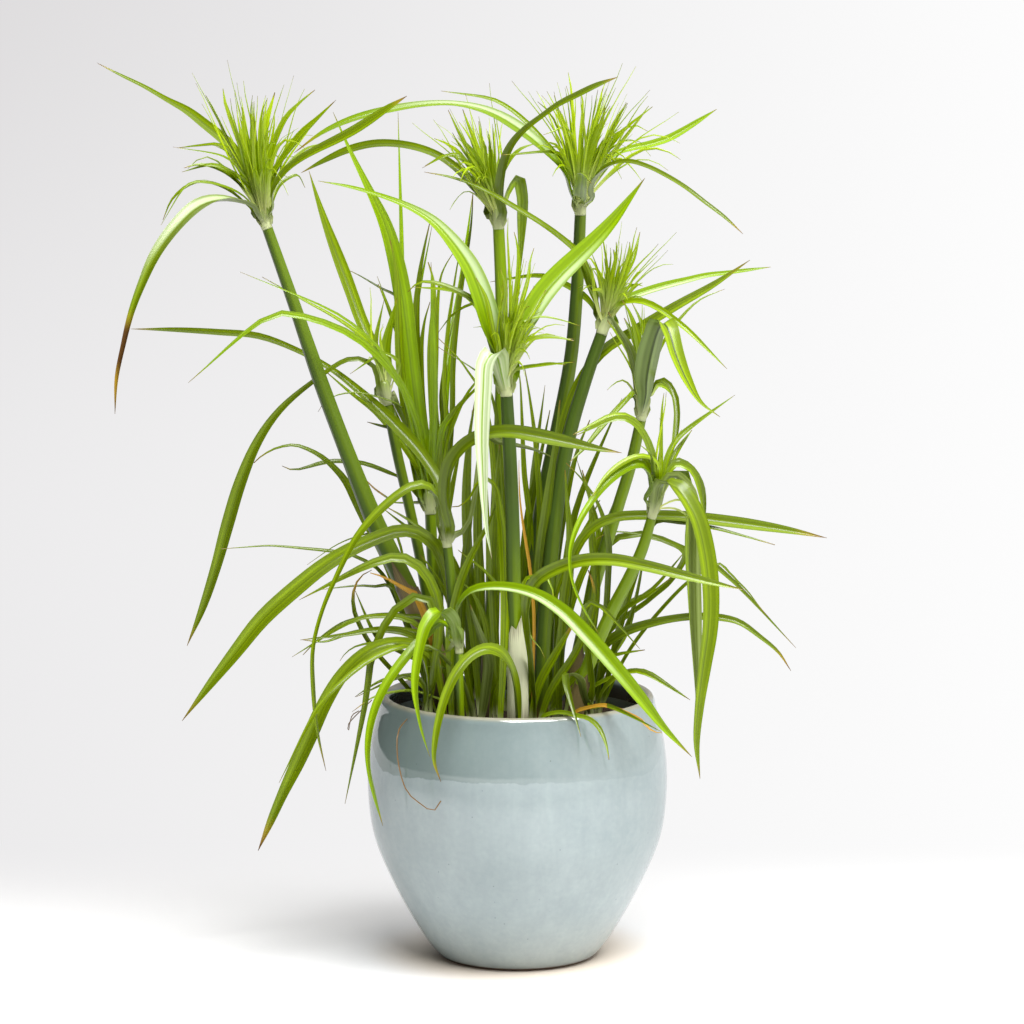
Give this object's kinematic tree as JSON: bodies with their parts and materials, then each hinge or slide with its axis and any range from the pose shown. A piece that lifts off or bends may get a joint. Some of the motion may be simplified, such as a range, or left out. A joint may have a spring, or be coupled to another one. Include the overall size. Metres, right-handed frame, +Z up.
{
  "type": "potted papyrus plant",
  "caption": "Papyrus houseplant: arching grass-like leaves and tall stems topped with tufts of fine rays, growing in soil in a round glazed cover pot.",
  "frame": {"origin": "middle of the pot's flat underside", "axes": "+Z up along the pot's axis; +X is the plant's right as seen from in front; +Y points to its back"},
  "size_m": [0.5371, 0.2791, 0.6577],
  "materials": {
    "glaze": "glossy grey-blue glaze",
    "soil": "matt, loose potting soil",
    "stem": "smooth satin",
    "leaf": "satin, thin and slightly see-through",
    "rays": "satin"
  },
  "bodies": {
    "root": {"bract_centre_front": "leaf", "bract_centre_left": "leaf", "bract_centre_right": "leaf", "bract_far_left_crown": "leaf", "bract_far_left_droop": "leaf", "bract_far_left_inner": "leaf", "bract_left_long": "leaf", "bract_left_upright": "leaf", "bract_low_centre_arch": "leaf", "bract_low_centre_left": "leaf", "bract_low_centre_right": "leaf", "bract_low_front_arch": "leaf", "bract_low_front_droop": "leaf", "bract_low_front_left": "leaf", "bract_low_right_arch": "leaf", "bract_low_right_front": "leaf", "bract_rear_left": "leaf", "bract_rear_right": "leaf", "bract_right_fold": "leaf", "bract_right_rear_left": "leaf", "bract_right_rear_long": "leaf", "bract_tall_droop": "leaf", "bract_tall_left": "leaf", "bract_tall_right": "leaf", "bract_young_broad": "leaf", "crown_centre": "rays", "crown_far_left": "rays", "crown_left": "rays", "crown_low_right": "rays", "crown_rear": "rays", "crown_right": "rays", "crown_right_rear": "rays", "crown_tall": "rays", "crown_young": "rays", "leaf_front_arch": "leaf", "leaf_left_broad": "leaf", "leaf_left_droop": "leaf", "leaf_right_bright": "leaf", "leaf_right_long": "leaf", "leaf_right_low": "leaf", "leaf_right_tall": "leaf", "pot": "glaze", "shoot_left": "leaf", "shoot_left_front": "leaf", "shoot_rear_left": "leaf", "shoot_rear_right": "leaf", "shoot_right": "leaf", "shoot_right_front": "leaf", "soil": "soil", "stem_centre": "stem", "stem_far_left": "stem", "stem_left": "stem", "stem_low_centre": "stem", "stem_low_front": "stem", "stem_low_right": "stem", "stem_rear": "stem", "stem_right": "stem", "stem_right_rear": "stem", "stem_tall": "stem", "stem_young": "stem"}
  },
  "joints": []
}
